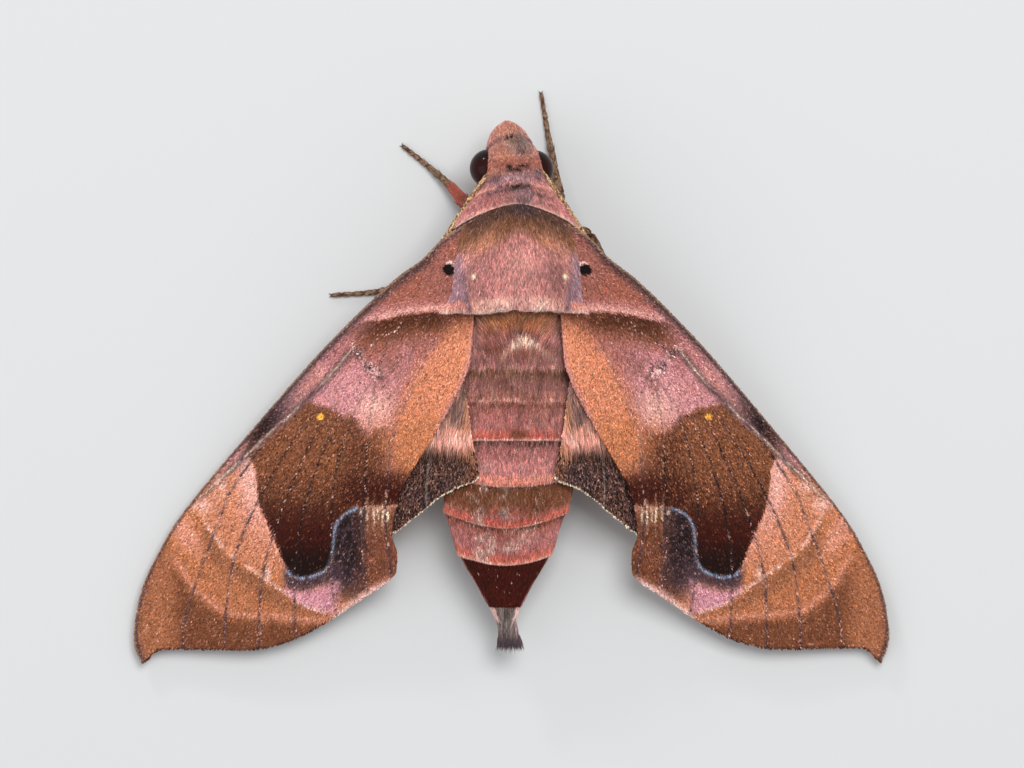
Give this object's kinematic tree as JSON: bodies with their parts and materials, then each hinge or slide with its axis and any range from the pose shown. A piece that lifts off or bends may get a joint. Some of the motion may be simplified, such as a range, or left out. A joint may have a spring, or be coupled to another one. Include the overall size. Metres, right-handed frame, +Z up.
{
  "type": "hawk moth, life-size still model",
  "caption": "Hawk moth at rest, life size: a slender spindle body with furred head and thorax, ringed abdomen, and swept-back wings with hooked tips held like a low roof.",
  "frame": {"origin": "on the floor, under the middle of the moth's bounding box", "axes": "+X to the moth's right wing tip, +Y the way the head points, +Z up from the floor it rests on"},
  "size_m": [0.0594, 0.0449, 0.0108],
  "materials": {
    "head_fur": "short dense matt fur, salmon to red-brown, greyer on the brow",
    "collar_fur": "combed matt fur, salmon pink with pale edges",
    "thorax_fur": "close-lying fur, dark brown at the front, coral pink at the back",
    "abdomen_scales": "overlapping scales in rings, mauve-brown to coral, slightly silky",
    "tail_scales": "smooth dark maroon scales with a soft sheen",
    "tuft_hair": "long flattened grey-brown hair scales",
    "forewing_scales": "fine dusty scales, orange-brown with a dark patch and pink bands, slightly silky",
    "hindwing_scales": "dark brown scales with long grey-brown hair at the base and a cream fringe",
    "leg_scales": "tan scales speckled dark, with dark claws",
    "feeler_scales": "tan gold scales over fine rings",
    "eye_gloss": "glossy dark maroon, finely faceted"
  },
  "bodies": {
    "root": {"head": "head_fur", "eye_left": "eye_gloss", "eye_right": "eye_gloss", "palp_left": "head_fur", "palp_right": "head_fur", "collar": "collar_fur", "thorax": "thorax_fur", "tegula_left": "collar_fur", "tegula_right": "collar_fur", "abdomen_1": "abdomen_scales", "abdomen_2": "abdomen_scales", "abdomen_3": "abdomen_scales", "abdomen_4": "abdomen_scales", "abdomen_5": "abdomen_scales", "abdomen_6": "abdomen_scales", "abdomen_7": "abdomen_scales", "abdomen_8": "tail_scales", "tail_tuft": "tuft_hair", "forewing_left": "forewing_scales", "forewing_right": "forewing_scales", "hindwing_left": "hindwing_scales", "hindwing_right": "hindwing_scales", "leg_fore_left": "leg_scales", "leg_fore_right": "leg_scales", "leg_mid_left": "leg_scales", "leg_mid_right": "leg_scales", "leg_hind_left": "leg_scales", "leg_hind_right": "leg_scales", "antenna_left": "feeler_scales", "antenna_right": "feeler_scales"}
  },
  "joints": []
}
